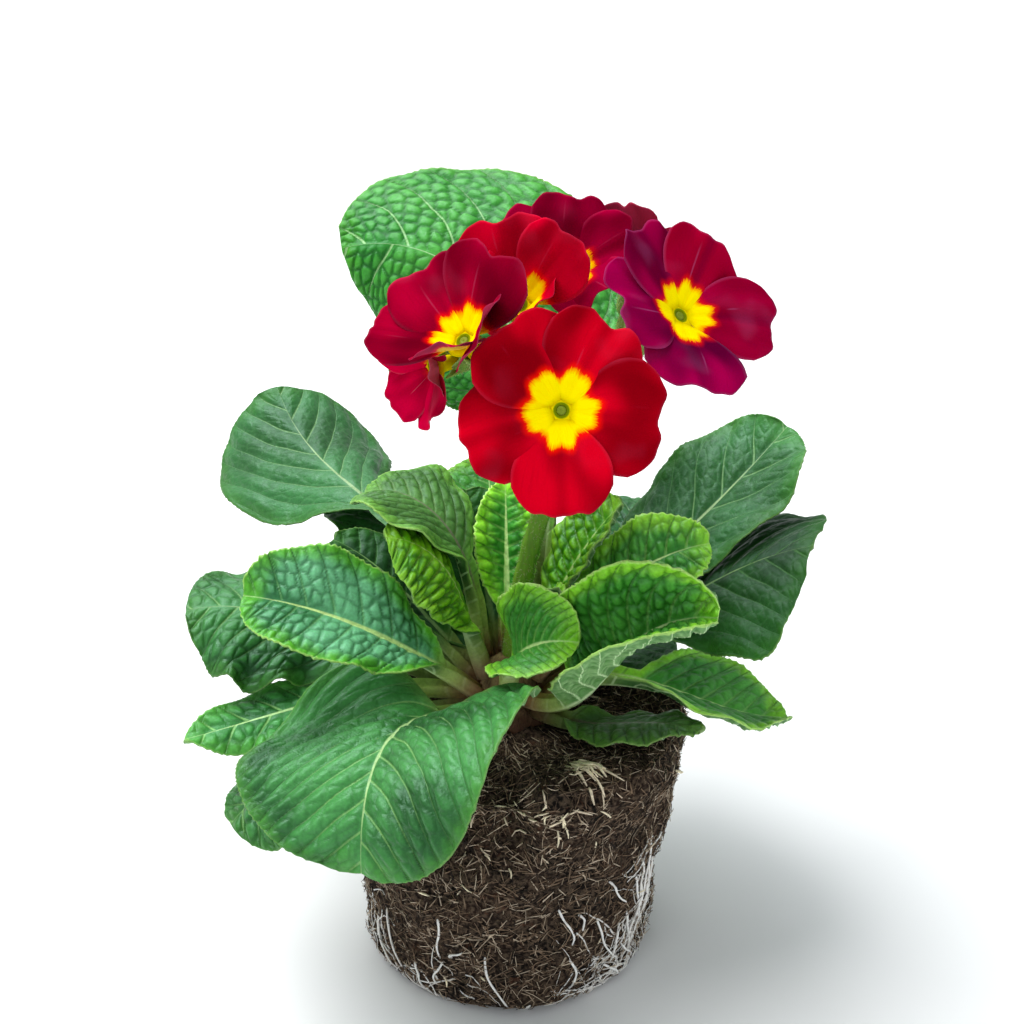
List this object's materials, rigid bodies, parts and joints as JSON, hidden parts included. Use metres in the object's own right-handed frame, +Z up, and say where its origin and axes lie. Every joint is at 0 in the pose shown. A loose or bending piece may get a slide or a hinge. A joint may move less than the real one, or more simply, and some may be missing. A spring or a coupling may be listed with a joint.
{
  "type": "primrose plant with bare root ball",
  "caption": "Flowering primrose lifted from its nursery pot: tapered root ball of soil, rosette of crinkled leaves and an umbel of red, yellow-eyed flowers.",
  "frame": {"origin": "middle of the root ball's flat base", "axes": "+Z up, -Y towards the plant's front, +X towards its right"},
  "size_m": [0.1724, 0.1882, 0.2092],
  "materials": {
    "soil": "matte, fibrous peat",
    "crown": "satin",
    "leaf": "satin, puckered",
    "stem": "satin, downy",
    "petal_red": "velvety",
    "petal_magenta": "velvety"
  },
  "bodies": {
    "root": {"root_ball": "soil", "crown": "crown", "leaf_01": "leaf", "leaf_02": "leaf", "leaf_03": "leaf", "leaf_04": "leaf", "leaf_05": "leaf", "leaf_06": "leaf", "leaf_07": "leaf", "leaf_08": "leaf", "leaf_09": "leaf", "leaf_10": "leaf", "leaf_11": "leaf", "leaf_12": "leaf", "leaf_13": "leaf", "leaf_14": "leaf", "leaf_15": "leaf", "leaf_16": "leaf", "leaf_17": "leaf", "leaf_18": "leaf", "leaf_19": "leaf", "leaf_20": "leaf", "leaf_21": "leaf", "leaf_22": "leaf", "leaf_23": "leaf", "leaf_24": "leaf", "leaf_25": "leaf", "scape": "stem", "flower_1_corolla": "petal_red", "flower_1_calyx": "stem", "flower_2_corolla": "petal_red", "flower_2_calyx": "stem", "flower_3_corolla": "petal_red", "flower_3_calyx": "stem", "flower_4_corolla": "petal_red", "flower_4_calyx": "stem", "flower_5_corolla": "petal_red", "flower_5_calyx": "stem", "flower_6_corolla": "petal_magenta", "flower_6_calyx": "stem", "flower_7_corolla": "petal_red", "flower_7_calyx": "stem"}
  },
  "joints": []
}
